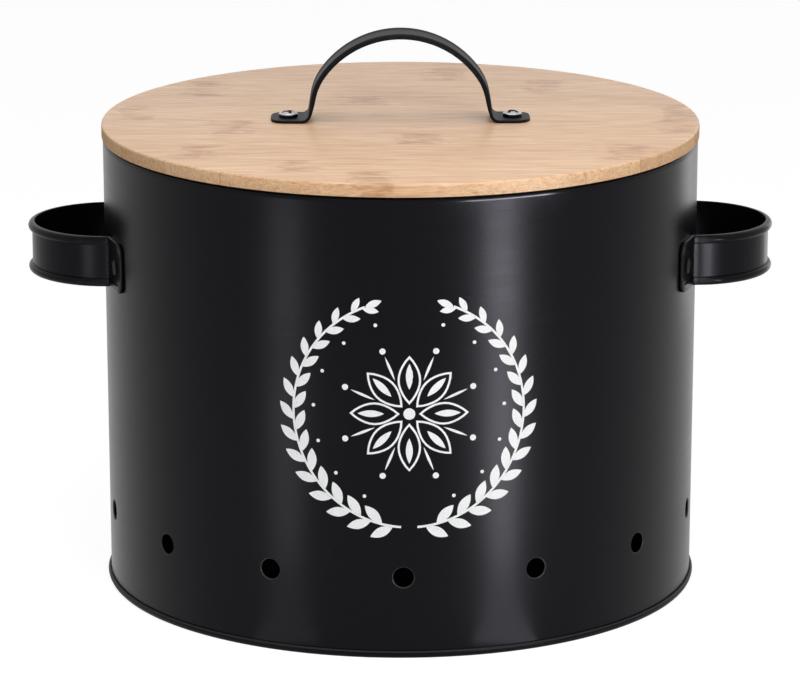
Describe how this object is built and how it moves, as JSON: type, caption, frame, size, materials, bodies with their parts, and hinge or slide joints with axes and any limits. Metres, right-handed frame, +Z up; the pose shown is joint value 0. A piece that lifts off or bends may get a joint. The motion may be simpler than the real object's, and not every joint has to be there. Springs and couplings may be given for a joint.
{
  "type": "storage bin",
  "caption": "Round vented steel storage bin with a lift-off bamboo lid, a strap handle on the lid and a loop handle on each side.",
  "frame": {"origin": "centre of the tin on the surface it stands on", "axes": "+Z up along the tin's axis, +X towards the right side handle, -Y towards the printed front"},
  "size_m": [0.3006, 0.24, 0.2241],
  "materials": {
    "black_coating": "satin powder coat",
    "black_rivet": "satin lacquer",
    "mandrel_steel": "dark, broken end",
    "bamboo": "satin lacquer over glued strips",
    "screw_steel": "zinc plated",
    "print_white": "thin screen-printed ink"
  },
  "bodies": {
    "tin": {"tin_wall": "black_coating", "tin_base": "black_coating", "side_handle_left": "black_coating", "side_handle_right": "black_coating", "handle_rivets": "black_rivet", "rivet_mandrels": "mandrel_steel"},
    "lid": {"lid_board": "bamboo", "lid_locating_disc": "bamboo", "lid_handle": "black_coating", "lid_handle_screws": "screw_steel"}
  },
  "joints": [
    {"name": "lid_lift", "type": "slide", "parent": "tin", "child": "lid", "axis": [0, 0, 1], "range_m": [0, 0.15]}
  ]
}
